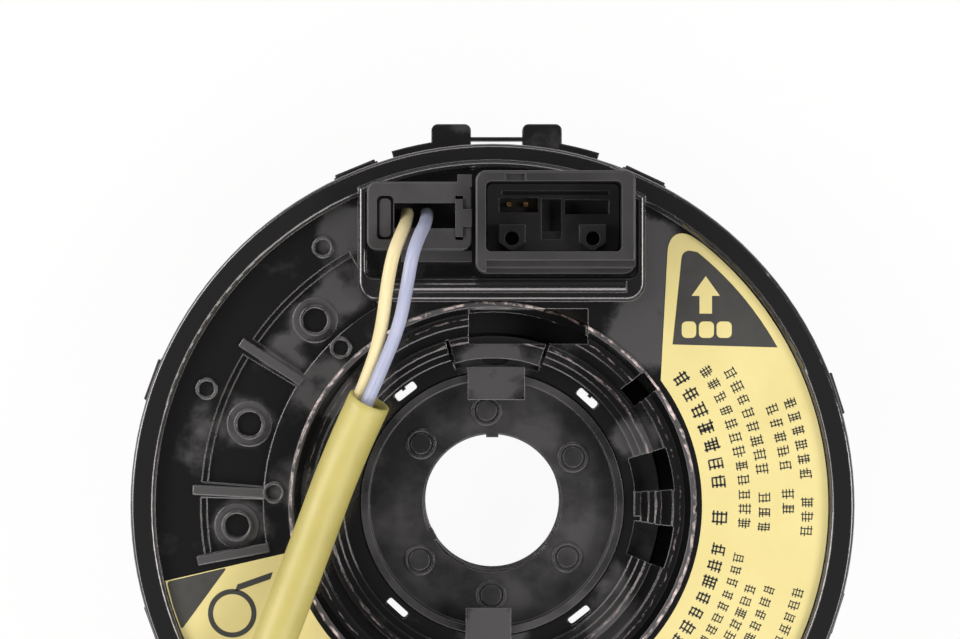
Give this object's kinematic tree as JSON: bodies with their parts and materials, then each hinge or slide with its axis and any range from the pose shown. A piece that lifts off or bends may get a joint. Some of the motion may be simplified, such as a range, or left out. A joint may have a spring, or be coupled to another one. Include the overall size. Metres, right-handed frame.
{
  "type": "steering clock spring",
  "caption": "Round steering-wheel coil unit: a rotor face with wire sockets and a sleeved airbag lead turns on a stator, joined by a wound ribbon cable.",
  "frame": {"origin": "on the steering shaft's axis, at the rear end of the hub's bore, in the plane that the rear socket and the screw posts stand on", "axes": "+Z along the shaft towards the steering wheel, +Y to the top of the wheel, +X to the driver's right"},
  "size_m": [0.11, 0.1729, 0.0416],
  "materials": {
    "rotor_plastic": "satin moulded plastic",
    "hub_plastic": "satin moulded plastic",
    "cam_plastic": "natural acetal",
    "slip_film": "thin low-friction film",
    "clip_plastic": "moulded",
    "socket_plastic": "satin moulded plastic",
    "holder_plastic": "satin moulded plastic",
    "pin_metal": "gold flashed",
    "airbag_plastic": "satin moulded plastic",
    "latch_plastic": "satin moulded plastic",
    "terminal_metal": "tinned copper alloy",
    "label_film": "matte printed film",
    "yellow_insulation": "vinyl insulation",
    "violet_insulation": "vinyl insulation",
    "sleeve_vinyl": "soft translucent vinyl",
    "plug_plastic": "moulded",
    "lock_plastic": "moulded",
    "stator_plastic": "satin moulded plastic",
    "cover_plastic": "fine textured moulding",
    "harness_plastic": "satin moulded plastic",
    "ribbon_film": "laminated film"
  },
  "bodies": {
    "stator": {"stator_case": "stator_plastic", "back_cover": "cover_plastic", "harness_socket": "harness_plastic", "harness_pins": "pin_metal", "rear_slip_sheet": "slip_film", "ribbon_outer_clip": "clip_plastic", "ribbon_cable": "ribbon_film"},
    "rotor": {"rotor_disc": "rotor_plastic", "hub_sleeve": "hub_plastic", "cancel_cam": "cam_plastic", "front_slip_sheet": "slip_film", "ribbon_inner_clip": "clip_plastic", "switch_socket": "socket_plastic", "terminal_holder": "holder_plastic", "switch_pins": "pin_metal", "airbag_holder": "airbag_plastic", "airbag_latch": "latch_plastic", "lead_terminals": "terminal_metal", "label_sheet": "label_film", "wire_yellow": "yellow_insulation", "wire_violet": "violet_insulation", "lead_sleeve": "sleeve_vinyl", "plug_shell": "plug_plastic", "plug_terminals": "terminal_metal"},
    "plug_lock": {"plug_lock": "lock_plastic"}
  },
  "joints": [
    {"name": "rotor_turn", "type": "hinge", "parent": "stator", "child": "rotor", "pos_m": [0, 0, 0], "axis": [0, 0, 1], "range_deg": [-900, 900], "deforming": ["ribbon_cable"]},
    {"name": "lock_slide", "type": "slide", "parent": "rotor", "child": "plug_lock", "axis": [1, 0, 0], "range_m": [0, 0.0025]}
  ]
}
